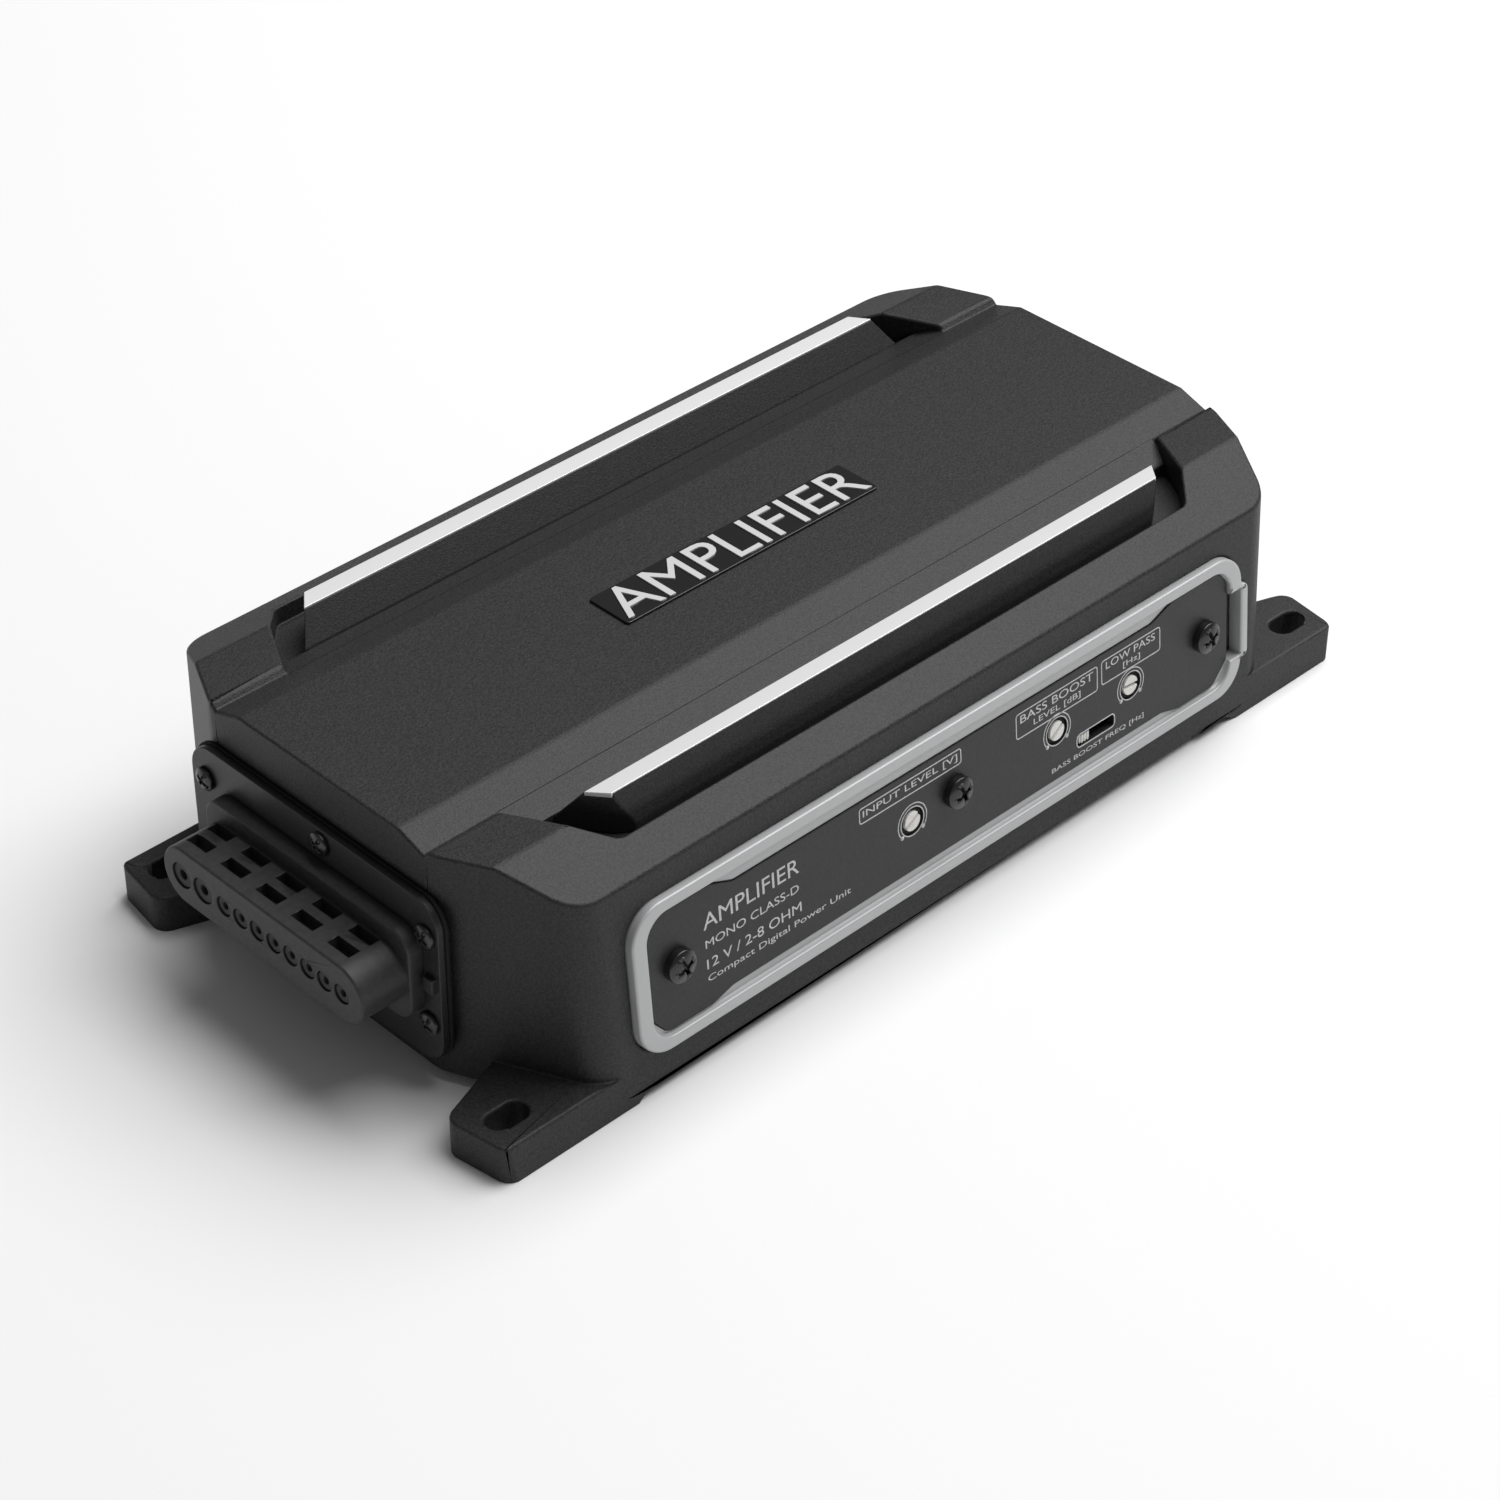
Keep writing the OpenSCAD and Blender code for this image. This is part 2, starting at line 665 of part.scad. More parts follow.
// Flat cable from the control board down to the main board.
module signal_ribbon() {
    color("#b9b4a6") translate([18, 0, 0]) {
        translate([0, front_y(26) + 14.6, board_top]) cube([24, 0.6, 14]);
        translate([0, front_y(26) + 14.6, board_top]) cube([24, 5, 0.6]);
    }
}

module relay() {
    color("#3f4750") translate([-97, -26, board_top]) cube([16, 20, 15]);
}

chassis();
base_cover();
base_gasket();
base_screws();
side_rail(false);  // side_rail_front
side_rail(true);  // side_rail_rear
trim_strip(false);  // trim_strip_front
trim_strip(true);  // trim_strip_rear
top_badge();
control_bezel();
control_plate();
panel_gasket();
panel_screws();
adjuster(0);  // gain_adjuster
adjuster(1);  // boost_adjuster
adjuster(2);  // filter_adjuster
pot(0);  // gain_pot
pot(1);  // boost_pot
pot(2);  // filter_pot
adjuster_seals();
mode_switch_body();
mode_switch_knob();
control_board();
control_board_screws();
connector_plate();
connector_gasket();
connector_screws();
connector_housing();
contact_pins();
wire_seals();
connector_header();
power_busbars();
main_board();
board_screws();
toroid_core();
toroid_winding();
output_inductor_core();
output_inductor_winding();
bulk_capacitors();
output_capacitors();
power_transistors();
thermal_pad();
clamp_bar();
clamp_screws();
driver_chips();
signal_ribbon();
relay();
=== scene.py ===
import json
from math import atan, cos, pi, radians, sin, tan

import bmesh
import bpy
from mathutils import Matrix, Vector
from mathutils.bvhtree import BVHTree

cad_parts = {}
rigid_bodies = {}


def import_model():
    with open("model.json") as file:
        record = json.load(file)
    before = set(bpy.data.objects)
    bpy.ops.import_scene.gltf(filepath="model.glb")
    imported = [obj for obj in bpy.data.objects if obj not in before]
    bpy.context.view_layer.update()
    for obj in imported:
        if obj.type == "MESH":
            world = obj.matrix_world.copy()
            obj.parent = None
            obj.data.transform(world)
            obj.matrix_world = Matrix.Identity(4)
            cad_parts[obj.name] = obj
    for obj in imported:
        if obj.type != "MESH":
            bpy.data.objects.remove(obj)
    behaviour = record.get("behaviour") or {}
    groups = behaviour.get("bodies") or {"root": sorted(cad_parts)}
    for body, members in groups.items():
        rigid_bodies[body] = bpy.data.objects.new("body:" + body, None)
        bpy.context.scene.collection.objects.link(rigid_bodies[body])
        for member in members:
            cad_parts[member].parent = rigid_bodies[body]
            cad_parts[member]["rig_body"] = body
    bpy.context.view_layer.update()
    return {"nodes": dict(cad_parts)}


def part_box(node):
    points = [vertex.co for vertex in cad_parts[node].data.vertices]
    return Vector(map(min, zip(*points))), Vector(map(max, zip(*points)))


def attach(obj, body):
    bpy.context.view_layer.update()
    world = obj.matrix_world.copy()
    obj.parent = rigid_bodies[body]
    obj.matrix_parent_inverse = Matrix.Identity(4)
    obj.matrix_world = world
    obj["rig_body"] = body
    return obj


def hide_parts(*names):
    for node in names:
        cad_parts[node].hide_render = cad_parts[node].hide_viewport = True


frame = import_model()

MM = 0.001

# ---------------------------------------------------------------------------------------------
# Camera: a long lens, seen from the connector end and the control side, above the top.
VIEW_AZIMUTH = radians(-45.36)
VIEW_ELEVATION = radians(36.45)
VIEW_ROLL = radians(0.9)
VIEW_DISTANCE = 0.8166
AIM = Vector((0.0143, 0.0028, 0.0122))
LENS = 90.8
SENSOR = 36
SHIFT = (-0.028, -0.039)
CLIP = (0.05, 20)

back = Vector((
    sin(VIEW_AZIMUTH) * cos(VIEW_ELEVATION),
    -cos(VIEW_AZIMUTH) * cos(VIEW_ELEVATION),
    sin(VIEW_ELEVATION),
))
lens = bpy.data.cameras.new("camera")
lens.lens = LENS
lens.sensor_width = SENSOR
lens.shift_x, lens.shift_y = SHIFT
lens.clip_start, lens.clip_end = CLIP
camera = bpy.data.objects.new("camera", lens)
bpy.context.scene.collection.objects.link(camera)
camera.matrix_world = (
    Matrix.Translation(AIM + VIEW_DISTANCE * back)
    @ (-back).to_track_quat("-Z", "Y").to_matrix().to_4x4()
    @ Matrix.Rotation(VIEW_ROLL, 4, "Z")
)
bpy.context.scene.camera = camera


# ---------------------------------------------------------------------------------------------
# Studio: a pale seamless floor under one large softbox, which hangs beyond the plain end so
# that every face leaning to the right or to the front catches it. The room itself is dim.
FLOOR_REACH = 6
BOX_PLACE = (0.98, -0.2, 1.9)
BOX_AIM = (0.0, 0.0, 0.03)
BOX_SIZE = 2.0
BOX_POWER = 62
ROOM_LIGHT = 0.14
COAT_ROUGHNESS = 0.15


def finish_of(name, colour, roughness, specular=0.5, metallic=0.0, coat=0.0):
    """A material with its constants set on the shader's own sockets."""
    made = bpy.data.materials.new(name)
    made.use_nodes = True
    shader = made.node_tree.nodes["Principled BSDF"]
    shader.inputs["Base Color"].default_value = (*colour, 1)
    shader.inputs["Roughness"].default_value = roughness
    shader.inputs["Specular IOR Level"].default_value = specular
    shader.inputs["Metallic"].default_value = metallic
    shader.inputs["Coat Weight"].default_value = coat
    shader.inputs["Coat Roughness"].default_value = COAT_ROUGHNESS
    return made


paper = bmesh.new()
bmesh.ops.create_grid(paper, x_segments=2, y_segments=2, size=FLOOR_REACH)
floor_mesh = bpy.data.meshes.new("floor")
paper.to_mesh(floor_mesh)
paper.free()
floor_mesh.materials.append(finish_of("floor_paper", (0.93, 0.93, 0.93), 0.95, specular=0.1))
floor = bpy.data.objects.new("floor", floor_mesh)
bpy.context.scene.collection.objects.link(floor)

softbox = bpy.data.lights.new("overhead", "AREA")
softbox.shape = "RECTANGLE"
softbox.size = softbox.size_y = BOX_SIZE
softbox.energy = BOX_POWER
lamp = bpy.data.objects.new("overhead", softbox)
lamp.location = BOX_PLACE
lamp.rotation_euler = (Vector(BOX_AIM) - Vector(BOX_PLACE)).to_track_quat("-Z", "Y").to_euler()
bpy.context.scene.collection.objects.link(lamp)

world = bpy.data.worlds.new("studio")
bpy.context.scene.world = world
world.use_nodes = True
world.node_tree.nodes["Background"].inputs["Color"].default_value = (1, 1, 1, 1)
world.node_tree.nodes["Background"].inputs["Strength"].default_value = ROOM_LIGHT
bpy.context.scene.view_settings.view_transform = "Standard"


# ---------------------------------------------------------------------------------------------
# Cast body: one aluminium die casting with drafted walls, four slotted feet and two channels
# sunk in its roof, black powder coated all over. Its outer edges are broken by 0.7 mm.
SAME_CORNER = 0.03 * MM
FLAT_ENOUGH = radians(1)
BROAD_FACE = 190 * MM * MM
SLIGHT_BEND = radians(3)
CLEARANCE = 0.05 * MM
SOLE_EDGE = 0.2
SOLE_HEIGHT = 0.1 * MM


def noise_of(made, scale, detail):
    """The output of a noise on object coordinates, with scale in waves per metre."""
    nodes, links = made.node_tree.nodes, made.node_tree.links
    place = nodes.new("ShaderNodeTexCoord")
    pattern = nodes.new("ShaderNodeTexNoise")
    pattern.inputs["Scale"].default_value = scale
    pattern.inputs["Detail"].default_value = detail
    links.new(place.outputs["Object"], pattern.inputs["Vector"])
    return pattern.outputs["Fac"]


def add_grain(made, scale, depth):
    """A fine bump of the given depth in metres."""
    nodes, links = made.node_tree.nodes, made.node_tree.links
    bump = nodes.new("ShaderNodeBump")
    bump.inputs["Distance"].default_value = depth
    links.new(noise_of(made, scale, 2), bump.inputs["Height"])
    links.new(bump.outputs["Normal"], nodes["Principled BSDF"].inputs["Normal"])


def add_mottle(made, socket, scale, low, high, detail=2, spread=0.15):
    """Varies one input of the shader between low and high with a soft noise."""
    nodes, links = made.node_tree.nodes, made.node_tree.links
    ramp = nodes.new("ShaderNodeValToRGB")
    first, last = ramp.color_ramp.elements
    first.position, first.color = 0.5 - spread, (*low, 1)
    last.position, last.color = 0.5 + spread, (*high, 1)
    links.new(noise_of(made, scale, detail), ramp.inputs["Fac"])
    links.new(ramp.outputs["Color"], nodes["Principled BSDF"].inputs[socket])


def place_piece(name, shape, material, body="housing", replaced=()):
    """Turns a bmesh into a shown piece that rides on a body and stands for CAD nodes."""
    mesh = bpy.data.meshes.new(name)
    shape.to_mesh(mesh)
    shape.free()
    mesh.shade_smooth()
    mesh.materials.clear()
    mesh.materials.append(material)
    piece = bpy.data.objects.new(name, mesh)
    bpy.context.scene.collection.objects.link(piece)
    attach(piece, body)
    if replaced:
        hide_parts(*replaced)
    return piece


def soften(piece, width, segments):
    """Rounds the edges by their bevel weights, then evens the shading of the flats."""
    edge = piece.modifiers.new("broken_edges", "BEVEL")
    edge.width = width
    edge.segments = segments
    edge.limit_method = "WEIGHT"
    edge.use_clamp_overlap = False
    even = piece.modifiers.new("even_flats", "WEIGHTED_NORMAL")
    even.keep_sharp = False


def finished(
    name, node, material, edge,
    fillet=None, segments=2, angle=28, special=None, pierced=False,
):
    """A CAD node's shape as one clean mesh. Its outer edges are broken by edge and its outer
    hollows filled by fillet, in millimetres, wherever they bend by more than angle degrees or
    part two broad faces; special(line, hollow) may give one line a width of its own. A pierced
    piece, whose faces have holes, is cut into triangles first."""
    source = frame["nodes"][node]
    shape = bmesh.new()
    shape.from_mesh(source.data)
    bmesh.ops.remove_doubles(shape, verts=shape.verts, dist=SAME_CORNER)
    bmesh.ops.dissolve_limit(
        shape, angle_limit=FLAT_ENOUGH, verts=shape.verts, edges=shape.edges,
    )
    weight = shape.edges.layers.float.new("bevel_weight_edge")
    tree = BVHTree.FromBMesh(shape)
    widths = {}
    for line in shape.edges:
        if len(line.link_faces) != 2:
            continue
        broad = min(side.calc_area() for side in line.link_faces) > BROAD_FACE
        if line.calc_face_angle(0) < (SLIGHT_BEND if broad else radians(angle)):
            continue
        out = (line.link_faces[0].normal + line.link_faces[1].normal).normalized()
        middle = (line.verts[0].co + line.verts[1].co) / 2
        if tree.ray_cast(middle + out * CLEARANCE, out)[0] is not None:
            continue
        hollow = line.calc_face_angle_signed(0) < 0
        width = special(line, hollow) if special else None
        if width is None:
            width = fillet if hollow and fillet is not None else edge
        if width:
            widths[line] = width
    widest = max(widths.values(), default=0)
    for line, width in widths.items():
        line[weight] = width / widest
    if pierced:
        bmesh.ops.triangulate(
            shape, faces=shape.faces, quad_method="BEAUTY", ngon_method="BEAUTY",
        )
    piece = place_piece(name, shape, material, source["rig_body"], (node,))
    soften(piece, widest * MM, segments)


def sole_rim(line, hollow):
    """The feet stand on nearly sharp rims: wider ones would swallow their shortest edges."""
    low = max(corner.co.z for corner in line.verts) < SOLE_HEIGHT
    return SOLE_EDGE if low and not hollow else None


powder_coat = finish_of("powder_coat", (0.024, 0.024, 0.025), 0.48, specular=0.29)
add_mottle(powder_coat, "Base Color", 2100, (0.016, 0.016, 0.017), (0.034, 0.034, 0.035))
add_grain(powder_coat, 2400, 0.1 * MM)
finished(
    "cast_body", "chassis", powder_coat, 0.7,
    fillet=0.4, segments=3, special=sole_rim,
)


# ---------------------------------------------------------------------------------------------
# Base cover: a flat sheet pressed into a rebate under the body, on a foam gasket, held by
# eight pan-head screws. Zinc-plated steel, dulled by its passivation.
base_zinc = finish_of("base_zinc", (0.3, 0.3, 0.31), 0.42, metallic=1.0)
add_mottle(base_zinc, "Roughness", 90, (0.34, 0.34, 0.34), (0.5, 0.5, 0.5), detail=5)
seal_rubber = finish_of("seal_rubber", (0.012, 0.012, 0.012), 0.75, specular=0.25)
add_grain(seal_rubber, 1800, 0.05 * MM)
steel_screw = finish_of("steel_screw", (0.5, 0.5, 0.51), 0.3, metallic=1.0)
add_mottle(steel_screw, "Roughness", 900, (0.24, 0.24, 0.24), (0.4, 0.4, 0.4))
finished("bottom_sheet", "base_cover", base_zinc, 0.2)
finished("bottom_gasket", "base_gasket", seal_rubber, 0.1)
finished("bottom_screws", "base_screws", steel_screw, 0.12, angle=35)


# ---------------------------------------------------------------------------------------------
# Side rails: two black mouldings that snap into the roof channels, each with a bright
# anodised strip along its crest.
rail_black = finish_of("rail_black", (0.024, 0.024, 0.025), 0.46, specular=0.35)
add_mottle(rail_black, "Base Color", 2100, (0.018, 0.018, 0.019), (0.032, 0.032, 0.033))
add_grain(rail_black, 2600, 0.07 * MM)
bright_metal = finish_of("bright_metal", (0.84, 0.84, 0.85), 0.34, metallic=0.25)
add_grain(bright_metal, 3000, 0.01 * MM)
for side in ("front", "rear"):
    finished(
        f"{side}_rail", f"side_rail_{side}", rail_black, 0.45,
        fillet=0.2, segments=3,
    )
    finished(f"{side}_strip", f"trim_strip_{side}", bright_metal, 0.15)


# ---------------------------------------------------------------------------------------------
# Badge: a thin black plate glued on the flat of the roof, with raised silver letters.
BADGE_WORD = "AMPLIFIER"
BADGE_WORD_SIZE = (69.8 * MM, 10.2 * MM)
LETTER_RISE = 0.35 * MM
LETTER_SINK = 0.05 * MM


def letter_mesh(words, size, rise):
    """Words as a mesh of the given width and height, from x = 0 and the foot of the letters."""
    curve = bpy.data.curves.new("letters", "FONT")
    curve.body = words
    curve.extrude = 0.5
    curve.resolution_u = 4
    written = bpy.data.objects.new("letters", curve)
    bpy.context.scene.collection.objects.link(written)
    drawn = written.evaluated_get(bpy.context.evaluated_depsgraph_get())
    mesh = bpy.data.meshes.new_from_object(drawn)
    bpy.data.objects.remove(written)
    corners = [v.co for v in mesh.vertices]
    low = Vector([min(c[i] for c in corners) for i in range(3)])
    high = Vector([max(c[i] for c in corners) for i in range(3)])
    span = high - low
    grow = Matrix.Diagonal((size[0] / span.x, size[1] / span.y, rise / span.z, 1))
    mesh.transform(grow @ Matrix.Translation(-low))
    return mesh


badge_black = finish_of("badge_black", (0.012, 0.012, 0.013), 0.22, specular=0.5)
add_grain(badge_black, 700, 0.004 * MM)
badge_silver = finish_of("badge_silver", (0.8, 0.8, 0.81), 0.3, metallic=0.3)
add_grain(badge_silver, 3000, 0.008 * MM)
finished("badge_plate", "top_badge", badge_black, 0.2, segments=3)
badge_low, badge_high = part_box("top_badge")
badge_middle = (badge_low + badge_high) / 2
word_mesh = letter_mesh(BADGE_WORD, BADGE_WORD_SIZE, LETTER_RISE)
word_mesh.transform(Matrix.Translation((
    badge_middle.x - BADGE_WORD_SIZE[0] / 2,
    badge_middle.y - BADGE_WORD_SIZE[1] / 2,
    badge_high.z - LETTER_SINK,
)))
word = bmesh.new()
word.from_mesh(word_mesh)
place_piece("badge_word", word, badge_silver)


# ---------------------------------------------------------------------------------------------
# Control panel: a silver-painted cast bezel pressed in the recess of the front wall, a dogbone
# plate in satin black on a gasket inside it, and three black pan-head screws.
PANEL_HEIGHT = 26.7 * MM
FACE_FOOT = -60.2 * MM
FACE_DRAFT = atan(4.9 / 50.6)
RIM_FROM = 1.2 * MM
RIM_ROUND = 0.55

panel_place = (
    Matrix.Translation((0, FACE_FOOT + PANEL_HEIGHT * tan(FACE_DRAFT), PANEL_HEIGHT))
    @ Matrix.Rotation(pi / 2 - FACE_DRAFT, 4, "X")
)
to_panel = panel_place.inverted()


def bezel_rim(line, hollow):
    """A wide round on the raised rim of the bezel; the ledge inside it stays crisp."""
    raised = all((to_panel @ v.co).z > RIM_FROM for v in line.verts)
    return RIM_ROUND if raised and not hollow else None


silver_paint = finish_of("silver_paint", (0.5, 0.505, 0.51), 0.45, metallic=0.2)
add_grain(silver_paint, 2600, 0.02 * MM)
panel_black = finish_of("panel_black", (0.021, 0.021, 0.022), 0.42, specular=0.35)
add_mottle(panel_black, "Base Color", 1500, (0.018, 0.018, 0.019), (0.025, 0.025, 0.026))
add_grain(panel_black, 1600, 0.012 * MM)
black_screw = finish_of("black_screw", (0.012, 0.012, 0.012), 0.28, specular=0.6)
add_grain(black_screw, 2000, 0.02 * MM)
finished(
    "panel_bezel", "control_bezel", silver_paint, 0.1,
    fillet=0, segments=3, special=bezel_rim, pierced=True,
)
finished("panel_plate", "control_plate", panel_black, 0.15)
finished("plate_gasket", "panel_gasket", seal_rubber, 0.05)
finished(
    "plate_screws", "panel_screws", black_screw, 0.2,
    segments=3, angle=35,
)


# ---------------------------------------------------------------------------------------------
# Legends: pad-printed in pale grey ink on the control plate: a block of wording at the left,
# a boxed name over each adjuster, a dial arc with two end dots, and the switch outline. Inside
# each dial arc a pale ring in the same ink is a painted highlight: it stands for the light
# caught by the rim of the plate's hole round the rotor. Words and boxes are placed in
# millimetres on the plate, from its middle.
PLATE_TOP = 0.7 * MM
INK_SINK = 0.01 * MM
INK_RISE = 0.03 * MM
INK_LINE = 0.28 * MM
INK_BOX_CORNER = 0.8 * MM
SWITCH_BOX = (12.2 * MM, 3.5 * MM)
SWITCH_CORNER = 1.2 * MM
DIAL_R = 4.0 * MM
# Radius of the painted highlight ring: a pale printed ring standing for the light on the rim of
# the plate's hole.
RIM_HIGHLIGHT_R = 3.2 * MM
DIAL_LINE = 0.24 * MM
DIAL_SWEEP = radians(262)
DOT_R = 0.5 * MM
LEGENDS = [
    ("AMPLIFIER", -70.2, 4.1, 25.8, 3.6),
    ("MONO CLASS-D", -70.0, -0.3, 25.2, 1.9),
    ("12 V / 2-8 OHM", -70.0, -5.2, 25.6, 2.3),
    ("Compact Digital Power Unit", -70.0, -8.6, 39.2, 1.9),
    ("INPUT LEVEL [V]", -26.4, 7.0, 27.2, 2.0),
    ("BASS BOOST", 19.6, 6.7, 22.4, 1.9),
    ("LEVEL [dB]", 23.6, 4.1, 14.4, 1.8),
    ("LOW PASS", 46.0, 7.1, 15.6, 1.8),
    ("[Hz]", 51.4, 4.6, 5.4, 1.7),
    ("BASS BOOST FREQ [Hz]", 28.8, -10.6, 29.0, 1.4),
]
LEGEND_BOXES = [(-27.5, 6.1, 29.5, 3.8), (18.2, 3.2, 25.2, 6.2), (44.5, 3.7, 18.8, 6.0)]
KNOBS = ("gain", "boost", "filter")


def outline_of(x, y, width, height, corner):
    """The flat outline of a box with round corners, from its lower left."""
    shape = bmesh.new()
    right, top = x + width, y + height
    corners = [
        shape.verts.new((px, py, 0)) for px, py in ((x, y), (right, y), (right, top), (x, top))
    ]
    shape.faces.new(corners)
    bmesh.ops.bevel(
        shape, geom=corners, offset=corner, segments=4, profile=0.5,
        affect="VERTICES", material=-1,
    )
    face = max(shape.faces, key=lambda f: len(f.verts))
    bmesh.ops.inset_region(
        shape, faces=[face], thickness=INK_LINE, use_boundary=True, use_even_offset=True,
    )
    bmesh.ops.delete(shape, geom=[face], context="FACES")
    return shape


def print_mesh(ink, mesh):
    """Adds a mesh to the print."""
    ink.from_mesh(mesh)
    bpy.data.meshes.remove(mesh)


def stamp(ink, shape):
    """Gives a flat shape the thickness of the ink, sets it on the plate and prints it."""
    raised = bmesh.ops.extrude_face_region(shape, geom=list(shape.faces))
    tops = [part for part in raised["geom"] if isinstance(part, bmesh.types.BMVert)]
    bmesh.ops.translate(shape, verts=tops, vec=(0, 0, INK_RISE))
    bmesh.ops.recalc_face_normals(shape, faces=shape.faces)
    bmesh.ops.translate(shape, verts=shape.verts, vec=(0, 0, PLATE_TOP - INK_SINK))
    mesh = bpy.data.meshes.new("stamp")
    shape.to_mesh(mesh)
    shape.free()
    print_mesh(ink, mesh)


# This print material also colours the painted highlight rings round the rotors.
ink_and_rim_highlight_grey = finish_of("ink_and_rim_highlight_grey", (0.62, 0.62, 0.63), 0.6, specular=0.2)
add_mottle(ink_and_rim_highlight_grey, "Base Color", 2200, (0.55, 0.55, 0.56), (0.68, 0.68, 0.69))
ink = bmesh.new()
for words, x, y, width, height in LEGENDS:
    mesh = letter_mesh(words, (width * MM, height * MM), INK_RISE)
    mesh.transform(Matrix.Translation((x * MM, y * MM, PLATE_TOP - INK_SINK)))
    print_mesh(ink, mesh)
for box in LEGEND_BOXES:
    stamp(ink, outline_of(*(measure * MM for measure in box), INK_BOX_CORNER))
for knob in KNOBS:
    low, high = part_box(f"{knob}_adjuster")
    middle = to_panel @ ((low + high) / 2)
    dial = bmesh.new()
    start = pi / 2 - DIAL_SWEEP / 2
    # The second, full circle is the painted highlight: a pale ring printed where the rim of the
    # plate's hole catches the light.
    for radius, begin, sweep in ((DIAL_R, start, DIAL_SWEEP), (RIM_HIGHLIGHT_R, 0, 2 * pi)):
        spoke = [
            dial.verts.new((reach * cos(begin), reach * sin(begin), 0))
            for reach in (radius, radius + DIAL_LINE)
        ]
        bmesh.ops.spin(
            dial, geom=[*spoke, dial.edges.new(spoke)], cent=(0, 0, 0), axis=(0, 0, 1),
            dvec=(0, 0, 0), angle=sweep, steps=48, use_merge=sweep > DIAL_SWEEP,
            use_duplicate=False,
        )
    for end in (start, start + DIAL_SWEEP):
        bmesh.ops.create_circle(
            dial, cap_ends=True, segments=14, radius=DOT_R,
            matrix=Matrix.Translation((DIAL_R * cos(end), DIAL_R * sin(end), 0)),
        )
    bmesh.ops.translate(dial, verts=dial.verts, vec=(middle.x, middle.y, 0))
    stamp(ink, dial)
slider_low, slider_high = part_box("mode_switch_knob")
switch_low, switch_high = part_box("mode_switch_body")
window_x = (switch_low.x + switch_high.x) / 2
window_y = (to_panel @ ((slider_low + slider_high) / 2)).y
stamp(ink, outline_of(
    window_x - SWITCH_BOX[0] / 2, window_y - SWITCH_BOX[1] / 2, *SWITCH_BOX, SWITCH_CORNER,
))
ink.transform(panel_place)
# One piece holds the printed legends and the painted highlight rings.
place_piece("panel_print_and_rim_highlight", ink, ink_and_rim_highlight_grey)


# ---------------------------------------------------------------------------------------------
# Adjusters: three sealed trimmers behind the plate, each with a white slotted rotor standing
# in a rubber collar, and the slide switch with its white knob.
white_nylon = finish_of("white_nylon", (0.78, 0.77, 0.74), 0.4, specular=0.45)
add_mottle(white_nylon, "Base Color", 1200, (0.74, 0.73, 0.7), (0.82, 0.81, 0.78))
pot_blue = finish_of("pot_blue", (0.03, 0.08, 0.22), 0.35)
add_grain(pot_blue, 900, 0.02 * MM)
moulded_black = finish_of("moulded_black", (0.018, 0.018, 0.019), 0.5, specular=0.4)
add_grain(moulded_black, 1400, 0.03 * MM)
for knob in KNOBS:
    finished(
        f"{knob}_rotor", f"{knob}_adjuster", white_nylon, 0.15, segments=3,
    )
    finished(f"{knob}_trimmer", f"{knob}_pot", pot_blue, 0.3)
finished("rotor_collars", "adjuster_seals", seal_rubber, 0.2)
finished("switch_case", "mode_switch_body", moulded_black, 0.2)
finished("switch_knob", "mode_switch_knob", white_nylon, 0.12)


# ---------------------------------------------------------------------------------------------
# Connector end: a black plate on a rubber gasket, six screws, and a ten-way housing in
# glass-filled nylon with coding windows on top and a rubber wire seal in every port.
BLOCK_END = -129.5 * MM
FLANGE_END = -118.3 * MM
BLOCK_MIDDLE = Vector((0, 2.9, 27.9)) * MM
PORT_REACH = 3.4 * MM
ROW_REACH = 27.6 * MM
END_GAP = 0.05 * MM
BLOCK_ROUND = 0.6


def block_rim(line, hollow):
    """A wide round on the outer rims of the block and its flange; the ports stay crisp."""
    for v in line.verts:
        away = v.co - BLOCK_MIDDLE
        if min(abs(v.co.x - BLOCK_END), abs(v.co.x - FLANGE_END)) > END_GAP:
            return None
        if abs(away.z) < PORT_REACH and abs(away.y) < ROW_REACH:
            return None
    return None if hollow else BLOCK_ROUND


plate_paint = finish_of("plate_paint", (0.02, 0.02, 0.021), 0.4, specular=0.4)
add_mottle(plate_paint, "Base Color", 1800, (0.016, 0.016, 0.017), (0.026, 0.026, 0.027))
add_grain(plate_paint, 2200, 0.04 * MM)
nylon_grey = finish_of("nylon_grey", (0.034, 0.034, 0.036), 0.5, specular=0.4)
add_mottle(nylon_grey, "Base Color", 700, (0.03, 0.03, 0.032), (0.04, 0.04, 0.042), detail=4)
add_grain(nylon_grey, 1500, 0.025 * MM)
seal_grey = finish_of("seal_grey", (0.038, 0.038, 0.04), 0.6, specular=0.3)
add_grain(seal_grey, 1600, 0.03 * MM)
tinned_copper = finish_of("tinned_copper", (0.75, 0.42, 0.25), 0.32, metallic=1.0)
add_mottle(tinned_copper, "Roughness", 700, (0.25, 0.25, 0.25), (0.42, 0.42, 0.42))
finished("end_plate", "connector_plate", plate_paint, 0.25, fillet=0.1, segments=3)
finished("end_gasket", "connector_gasket", seal_rubber, 0.15)
finished(
    "end_screws", "connector_screws", black_screw, 0.18,
    segments=3, angle=35,
)
finished(
    "port_block", "connector_housing", nylon_grey, 0.14,
    fillet=0.1, segments=3, special=block_rim, pierced=True,
)
finished("port_seals", "wire_seals", seal_grey, 0.25)
finished("pins", "contact_pins", tinned_copper, 0.15)
finished("pin_header", "connector_header", moulded_black, 0.25)
finished("busbars", "power_busbars", tinned_copper, 0.15)


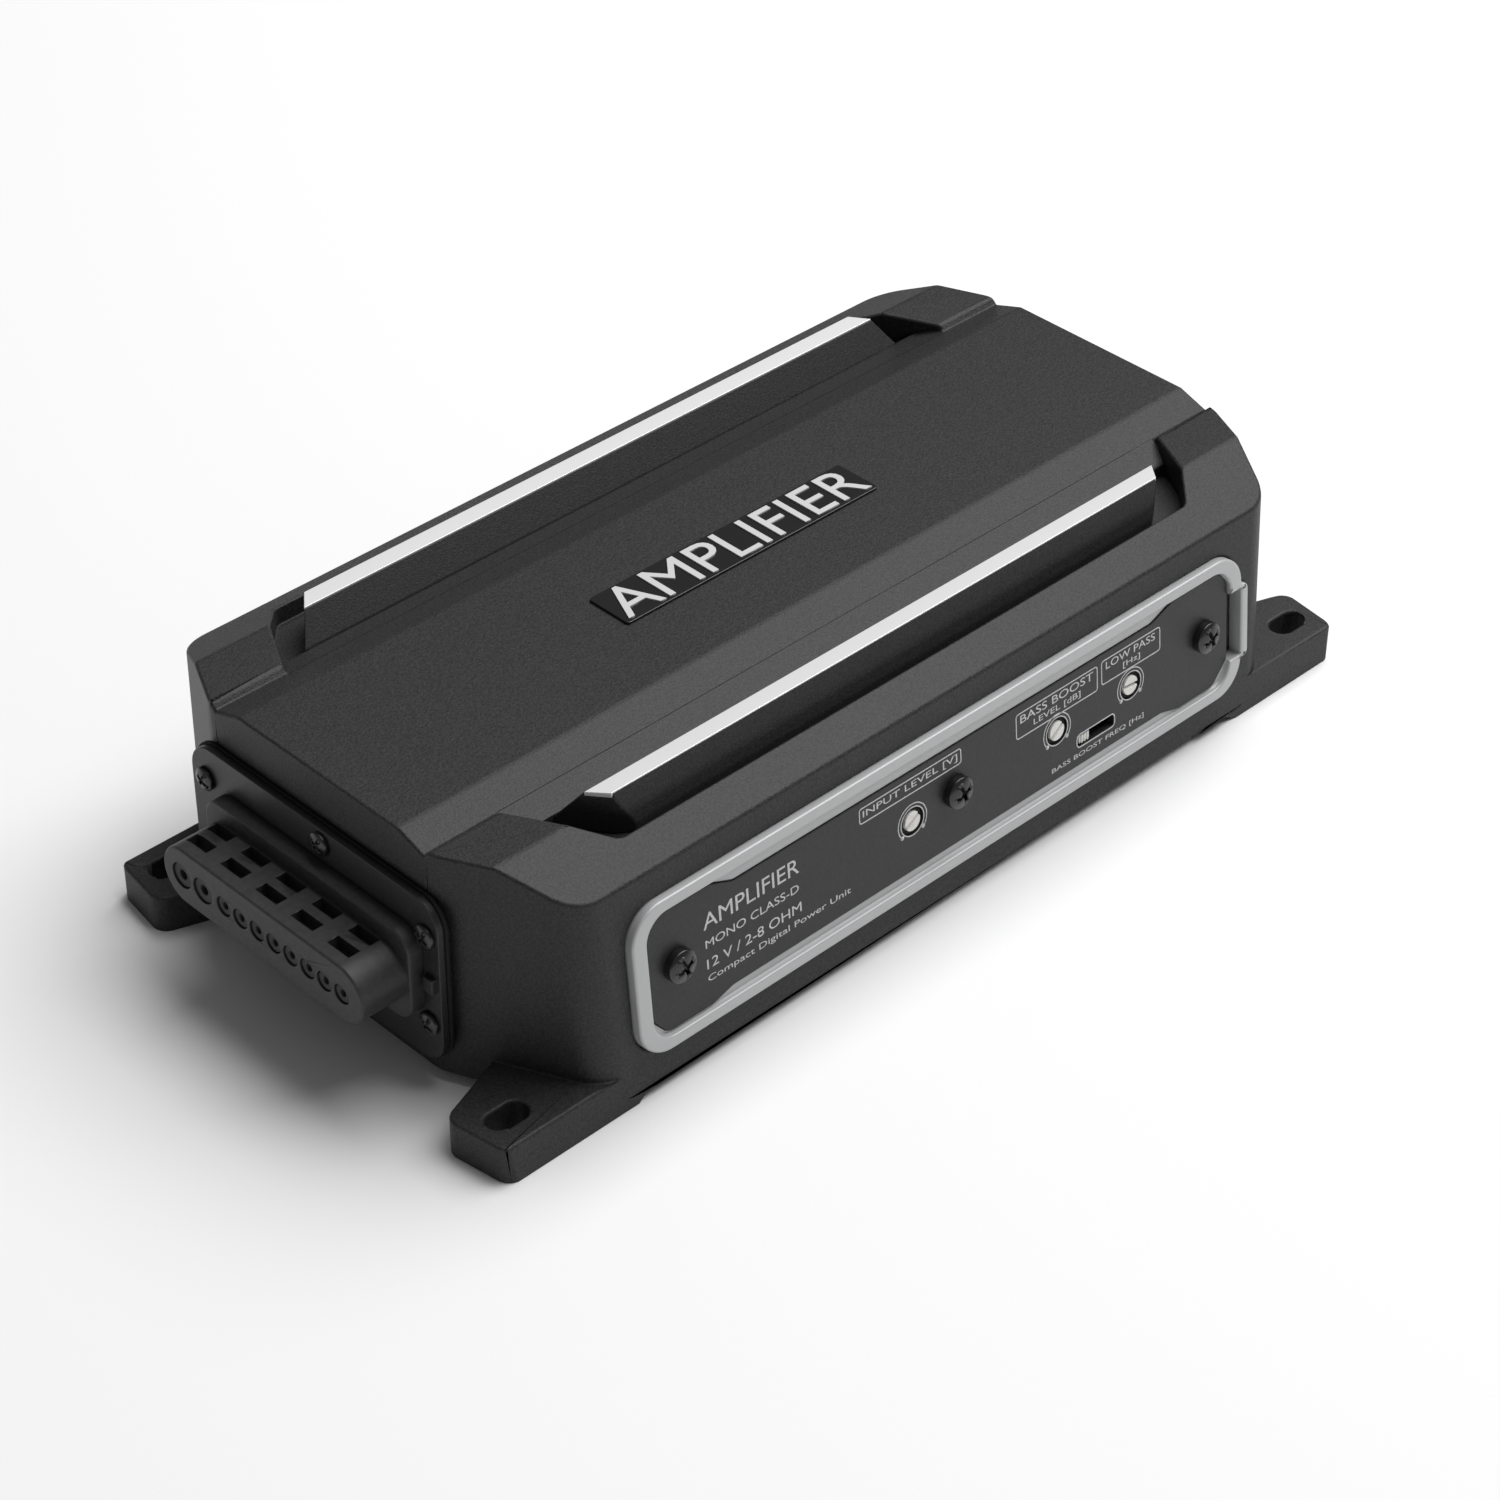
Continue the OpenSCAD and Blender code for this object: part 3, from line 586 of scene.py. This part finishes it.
# ---------------------------------------------------------------------------------------------
# Inside: the main board on six posts with its coils, capacitors, relay and driver chips, the
# row of transistors clamped to the rear wall, and the small control board behind the panel.
board_green = finish_of("board_green", (0.015, 0.1, 0.04), 0.35)
add_mottle(
    board_green, "Base Color", 260, (0.012, 0.085, 0.034), (0.02, 0.12, 0.05),
    detail=0, spread=0.02,
)
core_yellow = finish_of("core_yellow", (0.65, 0.42, 0.07), 0.45)
add_mottle(core_yellow, "Base Color", 400, (0.6, 0.38, 0.06), (0.7, 0.47, 0.09))
enamel_copper = finish_of("enamel_copper", (0.6, 0.25, 0.1), 0.25, metallic=0.9, coat=0.6)
add_mottle(enamel_copper, "Base Color", 500, (0.52, 0.2, 0.08), (0.66, 0.3, 0.12))
ferrite_grey = finish_of("ferrite_grey", (0.055, 0.06, 0.065), 0.6)
add_grain(ferrite_grey, 900, 0.05 * MM)
sleeve_blue = finish_of("sleeve_blue", (0.018, 0.03, 0.08), 0.3, coat=0.4)
add_mottle(sleeve_blue, "Base Color", 200, (0.015, 0.026, 0.07), (0.022, 0.036, 0.09))
film_red = finish_of("film_red", (0.3, 0.045, 0.035), 0.35)
add_mottle(film_red, "Base Color", 300, (0.26, 0.038, 0.03), (0.34, 0.052, 0.04))
pad_grey = finish_of("pad_grey", (0.36, 0.38, 0.42), 0.7, specular=0.2)
add_grain(pad_grey, 1200, 0.03 * MM)
ribbon_buff = finish_of("ribbon_buff", (0.5, 0.47, 0.4), 0.5)
add_mottle(ribbon_buff, "Base Color", 600, (0.46, 0.43, 0.37), (0.54, 0.51, 0.43))
INSIDE = [
    ("board", "main_board", board_green, "board_laminate", 0.15),
    ("front_board", "control_board", board_green, "board_laminate", 0.15),
    ("board_fixings", "board_screws", steel_screw, "steel_screws", 0.12),
    ("front_board_fixings", "control_board_screws", steel_screw, "steel_screws", 0.12),
    ("supply_core", "toroid_core", core_yellow, "toroid_paint", 1.2),
    ("supply_winding", "toroid_winding", enamel_copper, "copper_parts", 0.5),
    ("filter_core", "output_inductor_core", ferrite_grey, "ferrite", 0.5),
    ("filter_winding", "output_inductor_winding", enamel_copper, "copper_parts", 0.5),
    ("supply_capacitors", "bulk_capacitors", sleeve_blue, "capacitor_sleeve", 0.5),
    ("filter_capacitors", "output_capacitors", film_red, "film_capacitor", 0.7),
    ("transistors", "power_transistors", moulded_black, "black_moulding", 0.2),
    ("transistor_pad", "thermal_pad", pad_grey, "gap_pad", 0.15),
    ("transistor_clamp", "clamp_bar", steel_screw, "steel_screws", 0.25),
    ("clamp_fixings", "clamp_screws", steel_screw, "steel_screws", 0.12),
    ("chips", "driver_chips", moulded_black, "black_moulding", 0.15),
    ("board_ribbon", "signal_ribbon", ribbon_buff, "ribbon", 0.1),
    ("power_relay", "relay", moulded_black, "black_moulding", 0.5),
]
for name, node, material, slot, edge in INSIDE:
    finished(name, node, material, edge, angle=35)
